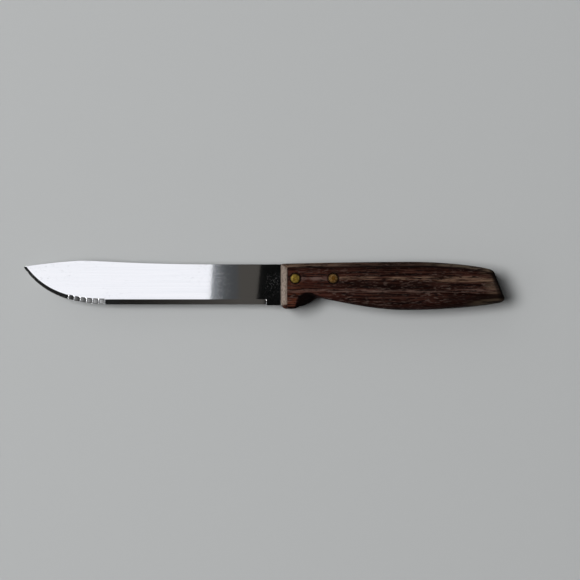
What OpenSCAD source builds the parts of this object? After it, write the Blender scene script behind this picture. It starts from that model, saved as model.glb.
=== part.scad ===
// Carving knife: a stamped steel blade with a half tang, let into a slot in a
// one-piece wooden handle and held there by two cutler's rivets of brass.
// The knife lies on its side. X runs from point to butt, Y from edge to spine
// and Z up. The origin is under the middle of its outline, on the surface that
// it lies on. All sizes are in millimetres.

/* [Overall] */
// Length from the point to the butt
overall_len = 280; // [270:1:300]
// Length of blade in front of the handle
blade_len = 150; // [144:1:156]
// Height from the hump of the spine to the belly of the handle
overall_h = 28.9; // [28:0.1:31]

/* [Blade] */
// Thickness of the steel
blade_t = 1.1; // [1:0.1:1.8]
// Height of the blade at the straight part of its edge
blade_h = 23.4; // [22:0.1:24]
// How far the hump stands above the straight spine
hump_rise = 2.25; // [1:0.05:3]
// Distance from the point back to the top of the hump
hump_back = 35; // [30:1:45]
// How far the point lies below the top of the hump
point_drop = 3.9; // [2:0.1:6]
// Distance from the point back to where the edge runs straight
belly_back = 50; // [44:1:56]
// Width of the ground bevel along the straight edge
bevel_w = 3; // [2:0.1:4]
// Width of the ground bevel at the point
bevel_tip_w = 1.5; // [1:0.1:2]
// Thickness left at the cutting edge
edge_t = 0.1; // [0.05:0.05:0.3]
// Length of full-thickness steel left between the bevel and the handle
ricasso_len = 8.5; // [6:0.5:12]
// How far that steel stands below the sharpened edge
ricasso_drop = 0.5; // [0.2:0.1:0.8]

/* [Serration] */
// Number of scallops ground into the belly
scallop_n = 6; // [4:1:9]
// Distance from one scallop to the next, along the edge
scallop_pitch = 3.65; // [3:0.05:4]
// Distance from the point to the first scallop, along the edge
scallop_start = 32.5; // [30:0.5:36]
// Radius of the grinding wheel's rim
scallop_r = 2.6; // [2:0.1:4]
// Height of a scallop up the blade's face, as a share of the bevel's width there
scallop_reach = 1; // [0.9:0.05:1.2]
// How far below the middle of the steel a scallop runs out at the edge
scallop_bite = 0.12; // [0.1:0.02:0.3]

/* [Handle] */
// Thickness of the handle, from side to side
handle_t = 18; // [16:0.5:20]
// Run of the sloping front face, along the knife
front_run = 3.7; // [2:0.1:4]
// Depth of the guard below the blade's edge
guard_drop = 2.5; // [2:0.1:3]
// Length of the guard's foot, along the knife
guard_len = 9; // [8.5:0.1:10]
// Depth of the finger notch behind the guard
notch_depth = 6.2; // [5:0.1:7.5]
// Slope of the butt: how far its top lies ahead of its bottom
butt_slope = 5.7; // [3:0.1:7]

/* [Rivets] */
// Diameter of a rivet's head
rivet_head_d = 5.6; // [5:0.1:6.5]
// Thickness of a rivet's head
rivet_head_t = 1.5; // [1:0.1:2]
// Diameter of a rivet's tube
rivet_tube_d = 3.4; // [3:0.1:4]
// Diameter of a rivet's pin
rivet_pin_d = 2; // [1.6:0.1:2.4]
// Distance from the handle's front to the first rivet
rivet_back = 8.5; // [8:0.5:10]
// Distance between the rivets
rivet_pitch = 22; // [18:0.5:24]
// Distance from the spine down to the rivets
rivet_drop = 8.3; // [7.5:0.1:9]

/* [Hidden] */

$fn = 64;
// How far a cut runs clear of the face that it starts from
clear = 1;

// Places along the knife
point_x = -overall_len / 2;
butt_x = overall_len / 2;
front_x = point_x + blade_len;
hump_x = point_x + hump_back;
belly_x = point_x + belly_back;
plunge_x = front_x - ricasso_len;
rivets_x = [front_x + rivet_back, front_x + rivet_back + rivet_pitch];

// Heights across the knife
hump_y = overall_h / 2;
grip_y = -overall_h / 2;
spine_y = hump_y - hump_rise;
edge_y = spine_y - blade_h;
point_y = hump_y - point_drop;
ricasso_y = edge_y - ricasso_drop;
guard_y = edge_y - guard_drop;
notch_y = guard_y + notch_depth;
rivet_y = spine_y - rivet_drop;

// The middle plane of the blade and of the handle
mid_z = handle_t / 2;

// Half tang, with its lower rear corner rounded to the slot's run-out
tang_len = 60;
tang_h = 15.2;
tang_corner = 12;
// Play between the steel and the wood around it
tang_play = 0.05;

// Play around a rivet's head, around its tube, and inside that tube
head_play = 0.12;
tube_play = 0.05;
pin_play = 0.01;
// How far a head lies under the side of the handle
head_sink = 0.05;
// Brass left between a tube's blind bore and its head, and the gap at the tube's mouth
tube_floor = 1.2;
tube_gap = 0.4;

// A cubic curve through four control points, as n points without the last one
function bezier(p, t) =
    pow(1 - t, 3) * p[0] + 3 * pow(1 - t, 2) * t * p[1]
    + 3 * (1 - t) * t * t * p[2] + pow(t, 3) * p[3];
function curve(p, n) = [for (i = [0:n - 1]) bezier(p, i / n)];

// The blade's outline, in stretches that run from the point round by the edge
belly_curve = [
    [point_x, point_y], [point_x + 7.1, point_y - 10.2],
    [belly_x - 30.3, edge_y], [belly_x, edge_y]
];
spine_curve = [
    [point_x + 116, spine_y], [point_x + 69, spine_y],
    [hump_x + 7.6, hump_y], [hump_x, hump_y]
];
clip_curve = [
    [hump_x, hump_y], [hump_x - 7.2, hump_y],
    [point_x + 2.8, point_y + 1.4], [point_x, point_y]
];
belly_steps = 40;
spine_steps = 16;

// Anchors of the handle's outline: the flat's front, the guard's foot, the finger
// notch and the brow behind it, the belly of the grip, the crest above it, and
// the heel, bottom and top of the butt
flat_x = front_x + front_run;
foot_x = front_x + guard_len;
notch_x = front_x + 21.5;
brow_x = front_x + 26;
brow_y = notch_y - 0.55;
grip_x = front_x + 73;
crest_x = front_x + 76;
crest_y = spine_y + 1.4;
heel_x = butt_x - 3.2;
heel_y = grip_y + 4.1;
butt_y = heel_y + 3.2;
cap_x = butt_x - butt_slope;
cap_y = butt_y + 14;

// The handle's outline as knots, from the top of the front face down and round
// by the guard. A knot has its place at the middle plane with the arms of the
// curve before and after it, the same on the flat side inside the rounded edge,
// the steps to the next knot, the depth of the rounded edge, and how far it
// belongs to the sloping front face.
handle_knots = [
    [[front_x, spine_y - 1], [0, 1], [0, -7],
        [flat_x, spine_y - 2.6], [0, 0.4], [0, -6], 4, 2.6, 1],
    [[front_x, guard_y + 4.2], [0, 6.8], [0, -2.2],
        [flat_x, guard_y + 4.2], [0, 6.2], [0, -1.5], 8, 1.3, 1],
    [[front_x + 3.4, guard_y], [-2.4, 0], [1.4, 0],
        [flat_x + 1.1, guard_y + 1.3], [-1, 0], [0.8, 0], 3, 1.3, 0],
    [[foot_x - 1.4, guard_y], [-1.4, 0], [1.6, 0],
        [foot_x - 1.8, guard_y + 1.3], [-0.8, 0], [1, 0], 7, 1.3, 0],
    [[foot_x + 2, guard_y + 1.4], [-1.2, -0.3], [6, 0.7],
        [foot_x - 0.2, guard_y + 4.5], [-0.3, -1.8], [0.5, 3], 10, 5, 0],
    [[notch_x, notch_y], [-2, 0], [1.5, 0],
        [notch_x - 5.3, notch_y + 3.6], [-4.7, 0], [2.5, 0], 8, 6, 0],
    [[brow_x, brow_y], [-2.7, 0.55], [12.2, -2.5],
        [brow_x - 0.4, brow_y + 1.25], [-5.4, 0.75], [12.4, -1.6], 18, 2.4, 0],
    [[grip_x, grip_y], [-16.6, 0], [19, 0],
        [grip_x, grip_y + 4.85], [-17, 0], [19, 0], 20, 5, 0],
    [[heel_x, heel_y], [-12.3, -2.3], [2, 0.4],
        [heel_x - 0.4, heel_y + 4.55], [-17.6, -1.05], [0.7, 0.05], 7, 5.5, 0],
    [[butt_x, butt_y], [0.2, -1.8], [-2, 5],
        [heel_x + 0.7, butt_y + 2.4], [0.1, -0.6], [-0.9, 3.4], 6, 2, 0],
    [[cap_x, cap_y], [1.7, -4], [-0.5, 1.2],
        [cap_x - 1.3, cap_y - 1], [1.1, -2.3], [-0.3, 0.6], 6, 1.6, 0],
    [[cap_x - 2.6, cap_y + 2.4], [1.4, -0.4], [-5.9, 1.8],
        [cap_x - 3.4, cap_y + 0.3], [1.2, -0.3], [-7.1, 1.6], 14, 2.6, 0],
    [[crest_x, crest_y], [20, 0], [-26, 0],
        [crest_x, crest_y - 2.9], [20, 0], [-26, 0], 16, 2.8, 0],
    [[front_x + 2, spine_y + 0.3], [12, 0.4], [-1.1, 0],
        [flat_x + 1.7, spine_y - 2.1], [12.3, 0.2], [-0.9, 0], 6, 2.6, 0]
];

// Control points between two knots, at the middle plane (k = 0) or the flat side (k = 3)
function arms(a, b, k) = [a[k], a[k] + a[k + 2], b[k] + b[k + 1], b[k]];

// The half tang's outline below its top, with the rear corner rounded to the
// run-out of the slot, grown by a margin all round
function tang_outline(grow) =
    let (x0 = front_x - grow, x1 = front_x + tang_len + grow, y0 = spine_y - tang_h - grow, r = tang_corner)
    concat([[x0, y0]], [for (a = [0:11.25:90]) [x1 - r, y0 + r] + r * [sin(a), -cos(a)]]);

// The top of the half tang, flush with the top of the handle
tang_x = front_x + tang_len;
crest_knot = handle_knots[12];
top_line = curve(arms(crest_knot, handle_knots[13], 0), crest_knot[6]);
tang_top = concat([[tang_x, lookup(tang_x, top_line)]], [for (p = top_line) if (p.x < tang_x) p]);

function blade_outline() = concat(
    curve(belly_curve, belly_steps),
    [
        [belly_x, edge_y], [plunge_x, edge_y], [plunge_x + ricasso_drop, ricasso_y],
        [front_x - tang_play, ricasso_y], [front_x - tang_play, spine_y - tang_h]
    ],
    tang_outline(0),
    tang_top,
    [[front_x, spine_y]],
    curve(spine_curve, spine_steps),
    curve(clip_curve, spine_steps)
);

// The cutting edge as a path from the point to the end of the bevel
edge_path = concat(curve(belly_curve, belly_steps), [[belly_x, edge_y], [plunge_x, edge_y]]);
edge_run = [
    for (i = 0, s = 0; i < len(edge_path);
        s = s + (i + 1 < len(edge_path) ? norm(edge_path[i + 1] - edge_path[i]) : 0), i = i + 1) s
];
edge_len = edge_run[len(edge_run) - 1];
belly_len = edge_run[len(edge_run) - 2];
edge_xs = [for (i = [0:len(edge_path) - 1]) [edge_run[i], edge_path[i].x]];
edge_ys = [for (i = [0:len(edge_path) - 1]) [edge_run[i], edge_path[i].y]];

// The edge's place and its inward direction, a distance s along it from the point
function edge_at(s) = [lookup(s, edge_xs), lookup(s, edge_ys)];
function inward(s) =
    let (a = edge_at(max(s - 0.5, 0)), b = edge_at(min(s + 0.5, edge_len)), d = (b - a) / norm(b - a))
    [-d.y, d.x];
function bevel_at(s) = bevel_tip_w + (bevel_w - bevel_tip_w) * min(s / belly_len, 1);

// Triangles that fill a flat ring of points whose lower and upper sides both
// run from its front end to its rear end. Between point i of the lower side and
// point j of the upper side, the next triangle takes the nearer point of the two.
function fill(ring, i, j) =
    i + 1 >= j ? []
    : ring[i + 1].x < ring[j - 1].x ? concat([[i, i + 1, j]], fill(ring, i + 1, j))
    : concat([[i, j - 1, j]], fill(ring, i, j - 1));

// A closed solid through rings of points that all have the same number of points
module loft(rings) {
    n = len(rings[0]);
    top = (len(rings) - 1) * n;
    sides = [
        for (j = [0:len(rings) - 2], i = [0:n - 1])
            let (a = j * n + i, b = j * n + (i + 1) % n)
            each [[a, a + n, b], [b, a + n, b + n]]
    ];
    floor_faces = fill(rings[0], 0, n - 1);
    top_faces = [for (f = fill(rings[len(rings) - 1], 0, n - 1)) [top + f[2], top + f[1], top + f[0]]];
    polyhedron([for (ring = rings) each ring], concat(sides, floor_faces, top_faces), convexity = 6);
}

// What the grinder takes off one face between two distances along the edge
module bevel_cut(from, to, steps) {
    loft([
        for (i = [0:steps])
            let (
                s = from + (to - from) * i / steps,
                p = edge_at(s), n = inward(s), w = bevel_at(s),
                slope = (blade_t - edge_t) / 2 / w,
                inner = p + w * n, outer = p - clear * n,
                face = blade_t / 2, sky = blade_t / 2 + clear
            )
            [
                [inner.x, inner.y, face], [inner.x, inner.y, sky],
                [outer.x, outer.y, sky], [outer.x, outer.y, edge_t / 2 - slope * clear]
            ]
    ]);
}

// One scallop: a round groove that rises from the edge to the blade's face
module scallop_cut(s) {
    p = edge_at(s);
    n = inward(s);
    rise = blade_t / 2 + scallop_bite;
    reach = scallop_reach * bevel_at(s);
    tilt = atan2(rise, reach);
    out = [-n.x * sin(tilt), -n.y * sin(tilt), cos(tilt)];
    translate([p.x, p.y, -scallop_bite] + scallop_r * out)
        rotate([0, 90 - tilt, atan2(n.y, n.x)])
            cylinder(r = scallop_r, h = 6 * reach, center = true);
}

module blade() {
    scallop_end = scallop_start + scallop_n * scallop_pitch;
    color("#d6d8d9")
        translate([0, 0, mid_z])
            difference() {
                translate([0, 0, -blade_t / 2])
                    linear_extrude(blade_t)
                        polygon(blade_outline());
                bevel_cut(0, scallop_start, 20);
                bevel_cut(scallop_end, edge_len, 8);
                mirror([0, 0, 1])
                    bevel_cut(0, edge_len, 60);
                for (i = [0:scallop_n - 1])
                    scallop_cut(scallop_start + (i + 0.5) * scallop_pitch);
                for (x = rivets_x)
                    translate([x, rivet_y, 0])
                        cylinder(d = rivet_tube_d + 2 * tube_play, h = blade_t + 2 * clear, center = true);
            }
}

// Points round the handle: place at the middle plane and on the flat side,
// depth of the rounded edge, and share of the front face
handle_points = [
    for (i = [0:len(handle_knots) - 1])
        let (a = handle_knots[i], b = handle_knots[(i + 1) % len(handle_knots)])
        for (j = [0:a[6] - 1])
            let (t = j / a[6])
            [
                bezier(arms(a, b, 0), t), bezier(arms(a, b, 3), t),
                a[7] + (b[7] - a[7]) * t, a[8] + (b[8] - a[8]) * t
            ]
];

// One line round the handle's surface, from the middle plane (line 0) to the
// flat side (the last line): a quarter of an ellipse along a rounded edge, and
// on the front face a straight slope back from the sides of the blade
handle_lines = 6;
function handle_ring(j) =
    let (u = max(abs(j) - 1, 0) / (handle_lines - 1), face_z = blade_t / 2)
    [
        for (p = handle_points)
            let (
                inset = (1 - p[3]) * (1 - cos(90 * u)) + p[3] * u,
                edge_z = mid_z - p[2] * (1 - sin(90 * u)),
                front_z = face_z + (mid_z - face_z) * u,
                place = p[0] + (p[1] - p[0]) * inset,
                z = j == 0 ? 0 : (1 - p[3]) * edge_z + p[3] * front_z
            )
            [place.x, place.y, sign(j) * z]
    ];

module handle() {
    head_d = rivet_head_d + 2 * head_play;
    head_seat = mid_z - rivet_head_t - head_sink;
    slot_end = front_x + tang_len + 2 * tang_play;
    slot_top = [[slot_end, hump_y + clear], [front_x - 2 * tang_play, hump_y + clear]];
    color("#4b342c")
        translate([0, 0, mid_z])
            difference() {
                loft([for (j = [-handle_lines:handle_lines]) handle_ring(j)]);
                translate([0, 0, -blade_t / 2 - tang_play])
                    linear_extrude(blade_t + 2 * tang_play)
                        polygon(concat(tang_outline(2 * tang_play), slot_top));
                for (x = rivets_x)
                    translate([x, rivet_y, 0]) {
                        cylinder(d = rivet_tube_d + 2 * tube_play, h = handle_t + 2 * clear, center = true);
                        for (side = [0, 1])
                            mirror([0, 0, side])
                                translate([0, 0, head_seat])
                                    cylinder(d = head_d, h = rivet_head_t + clear);
                    }
            }
}

// The hollow half of a rivet: its head is on the upper side of the handle
module rivet_tube(x) {
    top = mid_z - head_sink;
    foot = -mid_z + head_sink + rivet_head_t + tube_gap;
    color("#ab9a55")
        translate([x, rivet_y, mid_z])
            difference() {
                union() {
                    translate([0, 0, top - rivet_head_t])
                        cylinder(d = rivet_head_d, h = rivet_head_t);
                    translate([0, 0, foot])
                        cylinder(d = rivet_tube_d, h = top - rivet_head_t - foot);
                }
                translate([0, 0, foot - clear])
                    cylinder(d = rivet_pin_d, h = top - tube_floor - rivet_head_t - foot + clear);
            }
}

// The solid half of a rivet: its head is on the lower side, its pin in the tube
module rivet_pin(x) {
    base = -mid_z + head_sink;
    pin_top = mid_z - head_sink - rivet_head_t - tube_floor - tube_gap;
    color("#a38c4e")
        translate([x, rivet_y, mid_z]) {
            translate([0, 0, base])
                cylinder(d = rivet_head_d, h = rivet_head_t);
            translate([0, 0, base])
                cylinder(d = rivet_pin_d - 2 * pin_play, h = pin_top - base);
        }
}

blade();
handle();
rivet_tube(rivets_x[0]);  // front_rivet_tube
rivet_pin(rivets_x[0]);  // front_rivet_pin
rivet_tube(rivets_x[1]);  // rear_rivet_tube
rivet_pin(rivets_x[1]);  // rear_rivet_pin
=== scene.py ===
import math
import bmesh
import bpy
import numpy as np
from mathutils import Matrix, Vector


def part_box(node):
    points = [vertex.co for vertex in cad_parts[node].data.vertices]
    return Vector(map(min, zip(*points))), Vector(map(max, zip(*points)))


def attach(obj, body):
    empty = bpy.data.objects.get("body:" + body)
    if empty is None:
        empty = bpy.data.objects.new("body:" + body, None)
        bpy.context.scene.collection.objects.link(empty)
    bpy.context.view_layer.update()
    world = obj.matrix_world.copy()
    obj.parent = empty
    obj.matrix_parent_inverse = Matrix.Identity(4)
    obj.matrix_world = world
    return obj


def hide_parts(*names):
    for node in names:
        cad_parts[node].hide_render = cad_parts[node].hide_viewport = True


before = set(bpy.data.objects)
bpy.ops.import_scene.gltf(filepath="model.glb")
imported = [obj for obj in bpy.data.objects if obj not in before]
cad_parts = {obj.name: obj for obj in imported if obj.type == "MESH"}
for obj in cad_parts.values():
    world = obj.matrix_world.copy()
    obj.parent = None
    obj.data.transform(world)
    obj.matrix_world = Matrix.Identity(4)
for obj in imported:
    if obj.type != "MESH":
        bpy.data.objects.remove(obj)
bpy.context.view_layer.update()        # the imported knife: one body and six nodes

mm = 0.001               # a millimetre in the frame's metres
print("frame:", sorted(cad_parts))

turnSteps = 96           # points round a turned piece
gridWeld = (1e-7, 1e-8)  # m: points this close become one, and edges this short go
cutWeld = (2e-6, 1e-7)   # m: wider, because a cut leaves slivers
tiny = 1e-6              # mm: keeps a division away from zero


def toLinear(hexColour):
    # sRGB to linear: c / 12.92 in the darkest part, ((c + 0.055) / 1.055) ^ 2.4 above it
    srgb = np.array([int(hexColour[i:i + 2], 16) for i in (1, 3, 5)]) / 255
    linear = np.where(srgb <= 0.04045, srgb / 12.92, ((srgb + 0.055) / 1.055) ** 2.4)
    return (*linear.tolist(), 1.0)


def addNode(tree, kind, inputs, **settings):
    # one shader node: its settings, then each input as a value or as a link from another node's socket
    node = tree.nodes.new("ShaderNode" + kind)
    for name, value in settings.items():
        setattr(node, name, value)
    for name, value in inputs.items():
        if isinstance(value, bpy.types.NodeSocket):
            tree.links.new(value, node.inputs[name])
        else:
            node.inputs[name].default_value = value
    return node.outputs


def newMaterial(name):
    # a material whose node tree is still empty
    material = bpy.data.materials.new(name)
    material.use_nodes = True
    material.node_tree.nodes.clear()
    return material, material.node_tree


def curve(controls, which, t):
    # cubic curves by their four control points:
    # point = sum over k of control k times binomial(3, k) (1 - t)^(3 - k) t^k
    weights = np.stack([(1 - t) ** 3, 3 * t * (1 - t) ** 2, 3 * t ** 2 * (1 - t), t ** 3], -1)
    return np.einsum("nk,nkd->nd", weights, np.asarray(controls, float)[which])


def oneCurve(controls, steps):
    # one such curve at even steps of t
    return curve([controls], np.zeros(steps, int), np.linspace(0, 1, steps))


def cornerVertices(mesh):
    # the number of the vertex at each corner of each face
    numbers = np.zeros(len(mesh.loops), int)
    mesh.loops.foreach_get("vertex_index", numbers)
    return numbers


def weld(work, distances):
    bmesh.ops.remove_doubles(work, verts=work.verts, dist=distances[0])
    bmesh.ops.dissolve_degenerate(work, edges=work.edges, dist=distances[1])


def smoothBut(piece, sharpAngle):
    # smooth shading, apart from edges that turn by more than an angle in degrees
    piece.data.shade_smooth()
    piece.data.set_sharp_from_angle(angle=math.radians(sharpAngle))


def skin(name, grid, sharpAngle, cornerValues=None):
    # a closed section carried along a path: quads between neighbouring points of a grid in mm, whose columns
    # join up round the section; ends where the section has shrunk to a line or a point close in the weld
    rows, columns = grid.shape[:2]
    number = np.arange(rows * columns).reshape(rows, columns)
    number = np.hstack([number, number[:, :1]])
    corners = [number[:-1, :-1], number[1:, :-1], number[1:, 1:], number[:-1, 1:]]
    faces = np.stack(corners, -1).reshape(-1, 4)
    mesh = bpy.data.meshes.new(name)
    mesh.from_pydata((grid.reshape(-1, 3) * mm).tolist(), [], faces.tolist())
    for layerName, values in (cornerValues or {}).items():
        layer = mesh.attributes.new(layerName, "FLOAT", "CORNER")
        layer.data.foreach_set("value", values.reshape(-1)[cornerVertices(mesh)].astype(np.float32))
    work = bmesh.new()
    work.from_mesh(mesh)
    weld(work, gridWeld)
    bmesh.ops.recalc_face_normals(work, faces=work.faces)
    work.to_mesh(mesh)
    work.free()
    piece = bpy.data.objects.new(name, mesh)
    bpy.context.collection.objects.link(piece)
    smoothBut(piece, sharpAngle)
    return piece


def cutAway(piece, cutters, sharpAngle):
    # exact boolean difference, kept as the piece's own mesh
    for cutter in cutters:
        cut = piece.modifiers.new(cutter.name, "BOOLEAN")
        cut.operation, cut.solver, cut.object = "DIFFERENCE", "EXACT", cutter
    seen = piece.evaluated_get(bpy.context.evaluated_depsgraph_get())
    mesh = bpy.data.meshes.new_from_object(seen)
    work = bmesh.new()
    work.from_mesh(mesh)
    weld(work, cutWeld)
    bmesh.ops.holes_fill(work, edges=[edge for edge in work.edges if edge.is_boundary])
    work.to_mesh(mesh)
    work.free()
    piece.modifiers.clear()
    piece.data = mesh
    for cutter in cutters:
        bpy.data.objects.remove(cutter)
    smoothBut(piece, sharpAngle)


def turned(name, profile, axisX, axisY, sharpAngle):
    # turned on a lathe: a closed profile of (radius, height) pairs carried round an upright axis
    angle = np.linspace(0, 2 * np.pi, turnSteps, endpoint=False)
    radius, height = np.asarray(profile, float).T
    x = axisX + radius[:, None] * np.cos(angle)
    y = axisY + radius[:, None] * np.sin(angle)
    z = np.repeat(height[:, None], turnSteps, 1)
    return skin(name, np.stack([x, y, z], -1), sharpAngle)


def settle(piece, node, material):
    # gives a piece its material, and puts it in the place of its CAD node
    piece.data.materials.clear()
    piece.data.materials.append(material)
    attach(piece, "root")
    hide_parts(node)
    print(piece.name, "made,", len(piece.data.polygons), "faces")


# main places, in mm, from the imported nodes
bladeLow, bladeHigh = np.array(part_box("blade")) / mm
handleLow, handleHigh = np.array(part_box("handle")) / mm
pointX, tangX = bladeLow[0], bladeHigh[0]
frontX, buttX = handleLow[0], handleHigh[0]
humpY, gripY = bladeHigh[1], handleLow[1]
ricassoY = bladeLow[1]
midZ = (handleLow[2] + handleHigh[2]) / 2
bladeHalf = (bladeHigh[2] - bladeLow[2]) / 2
handleHalf = (handleHigh[2] - handleLow[2]) / 2


def flattened(section):
    # a section pressed onto the middle plane, which closes the end of a skin
    return section * (1, 1, 0) + (0, 0, midZ)


bladeSizes = {           # mm
    "humpRise": 2.25, "humpBack": 35, "pointDrop": 3.9, "bellyBack": 50, "spineBack": 116,
    "tipDown": (7.1, -10.2), "tipUp": (2.8, 1.4),           # arms of the curves at the point
    "bellyArm": 30.3, "clipArm": 7.2, "humpArm": 7.6, "spineArm": 47,  # and at their other ends
    "bevelWidth": 3, "bevelTipWidth": 1.5, "edgeThickness": 0.1, "thinnest": 0.02,
    "ricassoLength": 8.5, "ricassoDrop": 0.5, "plungeRun": 0.2, "softCorner": 0.1,
    "pointThin": 0.17, "pointThinRun": 25,
    "scallops": 6, "scallopPitch": 3.65, "scallopStart": 32.5, "scallopHalfWidth": 1.76,
    "scallopReach": 1, "scallopBite": 0.12, "scallopRidge": 0.25,
    "scallopSag": 0.02, "scallopPower": 24,                 # a power of the way to the side
    "tangHeight": 15.2, "tangCorner": 12, "play": 0.05,
    "sharpAngle": 4,     # degrees
}
spineY = humpY - bladeSizes["humpRise"]
edgeY = ricassoY + bladeSizes["ricassoDrop"]

handleSizes = {          # mm
    "frontRun": 3.7, "guardDrop": 2.5, "guardLength": 9, "notchDepth": 6.2, "buttSlope": 5.7,
    "notchBack": 21.5, "browBack": 26, "browStep": 0.55, "gripBack": 73, "crestBack": 76, "crestRise": 1.4,
    "heelAhead": 3.2, "heelRise": 4.1, "buttRise": 3.2, "capRise": 14,
    "buttRun": 5, "middleEnd": 2,                           # ends of the flat sides' middle line
    "slotPlay": 0.05, "headPlay": 0.12, "tubePlay": 0.05, "clear": 1,
    "roundLines": 13,    # lines across a rounded edge
    "sharpAngle": 35,    # degrees
}
flatX = frontX + handleSizes["frontRun"]
footX = frontX + handleSizes["guardLength"]
guardY = edgeY - handleSizes["guardDrop"]
notchX, notchY = frontX + handleSizes["notchBack"], guardY + handleSizes["notchDepth"]
browX, browY = frontX + handleSizes["browBack"], notchY - handleSizes["browStep"]
gripX = frontX + handleSizes["gripBack"]
crestX, crestY = frontX + handleSizes["crestBack"], spineY + handleSizes["crestRise"]
heelX, heelY = buttX - handleSizes["heelAhead"], gripY + handleSizes["heelRise"]
buttY = heelY + handleSizes["buttRise"]
capX, capY = buttX - handleSizes["buttSlope"], buttY + handleSizes["capRise"]

# The handle's outline as knots. A knot has its place and the two arms of the curve there at the middle plane,
# the same on the flat side, the depth of the rounded edge, and how far it belongs to the sloping front face.
handleKnots = [
    ((frontX, spineY - 1), (0, 1), (0, -7),                 # top of the front face
     (flatX, spineY - 2.6), (0, 0.4), (0, -6), 2.6, 1),
    ((frontX, guardY + 4.2), (0, 6.8), (0, -2.2),           # bottom of the front face
     (flatX, guardY + 4.2), (0, 6.2), (0, -1.5), 1.3, 1),
    ((frontX + 3.4, guardY), (-2.4, 0), (1.4, 0),           # front of the guard's foot
     (flatX + 1.1, guardY + 1.3), (-1, 0), (0.8, 0), 1.3, 0),
    ((footX - 1.4, guardY), (-1.4, 0), (1.6, 0),            # rear of the guard's foot
     (footX - 1.8, guardY + 1.3), (-0.8, 0), (1, 0), 1.3, 0),
    ((footX + 2, guardY + 1.4), (-1.2, -0.3), (6, 0.7),     # the guard's rear corner
     (footX - 0.2, guardY + 4.5), (-0.3, -1.8), (0.5, 3), 5, 0),
    ((notchX, notchY), (-2, 0), (1.5, 0),                   # finger notch
     (notchX - 5.3, notchY + 3.6), (-4.7, 0), (2.5, 0), 6, 0),
    ((browX, browY), (-2.7, 0.55), (12.2, -2.5),            # brow behind the notch
     (browX - 0.4, browY + 1.25), (-5.4, 0.75), (12.4, -1.6), 2.4, 0),
    ((gripX, gripY), (-16.6, 0), (19, 0),                   # belly
     (gripX, gripY + 4.85), (-17, 0), (19, 0), 5, 0),
    ((heelX, heelY), (-12.3, -2.3), (2, 0.4),               # heel
     (heelX - 0.4, heelY + 4.55), (-17.6, -1.05), (0.7, 0.05), 5.5, 0),
    ((buttX, buttY), (0.2, -1.8), (-2, 5),                  # bottom of the butt
     (heelX + 0.7, buttY + 2.4), (0.1, -0.6), (-0.9, 3.4), 2, 0),
    ((capX, capY), (1.7, -4), (-0.5, 1.2),                  # top of the butt
     (capX - 1.3, capY - 1), (1.1, -2.3), (-0.3, 0.6), 1.6, 0),
    ((capX - 2.6, capY + 2.4), (1.4, -0.4), (-5.9, 1.8),    # upper corner ahead of the butt
     (capX - 3.4, capY + 0.3), (1.2, -0.3), (-7.1, 1.6), 2.6, 0),
    ((crestX, crestY), (20, 0), (-26, 0),                   # crest
     (crestX, crestY - 2.9), (20, 0), (-26, 0), 2.8, 0),
    ((frontX + 2, spineY + 0.3), (12, 0.4), (-1.1, 0),      # upper front corner
     (flatX + 1.7, spineY - 2.1), (12.3, 0.2), (-0.9, 0), 2.6, 0),
]
knots = np.array([np.hstack(knot) for knot in handleKnots])
midColumn, flatColumn, depthColumn = 0, 6, 12            # where these start in a knot's row


def outlinePoints(place):
    # points of the closed outline at a running number, which is the knot before plus the way to the next
    which = np.floor(place).astype(int) % len(knots)
    t = place - np.floor(place)
    after = np.roll(knots, -1, 0)
    both = []
    for k in (midColumn, flatColumn):
        a, b = knots[:, k:k + 2], after[:, k:k + 2]
        controls = np.stack([a, a + knots[:, k + 4:k + 6], b + after[:, k + 2:k + 4], b], 1)
        both.append(curve(controls, which, t))
    here, there = knots[which, depthColumn:], after[which, depthColumn:]
    rounding, front = (here + (there - here) * t[:, None]).T
    return both[0], both[1], rounding, front


# The lower line runs from the middle of the front face down by the guard and the belly to the middle of the
# butt. The upper line runs from the same point over the top, and between the guard and the butt its points
# stand straight above those of the lower line.
frontMiddle, guardCorner, buttMiddle = 0.5, 4, 9.5       # running numbers on the outline
lowerSteps = [           # from a running number to another, and how many points
    (frontMiddle, 1, 12), (1, 2, 22), (2, 3, 8), (3, guardCorner, 20), (guardCorner, 5, 40), (5, 6, 28),
    (6, 7, 60), (7, 8, 64), (8, 9, 26), (9, buttMiddle, 12),
]
lowerPlace = np.concatenate([np.linspace(a, b, n, endpoint=False) for a, b, n in lowerSteps] + [[buttMiddle]])
lowerMid, lowerFlat, lowerRound, lowerFront = outlinePoints(lowerPlace)
overPlace = np.linspace(len(knots) + frontMiddle, buttMiddle, 8000)  # fine, to find places by their x
overFlat = outlinePoints(overPlace)[1]
frontCount = int(np.searchsorted(lowerPlace, guardCorner)) + 1            # up to the guard's rear corner
buttCount = int(np.sum(lowerFlat[:, 0] > capX - handleSizes["buttRun"]))  # from below the butt's top on
between = lowerFlat[frontCount:-buttCount, 0]
overFrontEnd = np.argmax(overFlat[:, 0] > between[0])
overButtStart = np.argmax(overFlat[:, 0] > between[-1])
upperPlace = np.interp(np.concatenate([
    np.linspace(0, overFrontEnd, frontCount, endpoint=False),
    np.interp(between, overFlat[:, 0][:overButtStart + 1], np.arange(overButtStart + 1)),
    np.linspace(overButtStart, len(overPlace) - 1, buttCount + 1)[1:],
]), np.arange(len(overPlace)), overPlace)
upperMid, upperFlat, upperRound, upperFront = outlinePoints(upperPlace)

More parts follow.
